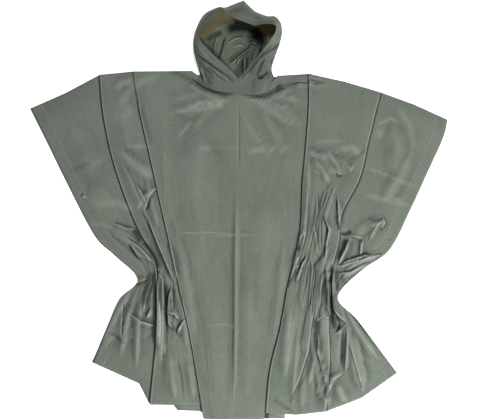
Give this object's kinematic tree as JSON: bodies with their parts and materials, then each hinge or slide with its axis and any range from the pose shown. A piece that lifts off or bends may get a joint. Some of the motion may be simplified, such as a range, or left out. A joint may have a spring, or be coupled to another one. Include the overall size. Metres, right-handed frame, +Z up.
{
  "type": "hooded rain poncho, laid flat",
  "caption": "Hooded rain poncho of grey-green vinyl film, laid flat on its back with the sides gathered in at the waist.",
  "frame": {"origin": "on the surface it lies on, under the middle of its outline", "axes": "+X to the viewer's right across the sleeves, +Y towards the hood, +Z up from the surface"},
  "size_m": [1.2524, 1.2525, 0.0847],
  "materials": {
    "film": "grey-green soft vinyl film with a fine embossed grain and a low sheen",
    "hood_film": "the same vinyl film, with an olive brown inner face",
    "stud": "dull metal press stud"
  },
  "bodies": {
    "root": {"front": "film", "back": "film", "hood_left": "hood_film", "hood_right": "hood_film", "stud_left": "stud", "stud_right": "stud"}
  },
  "joints": []
}
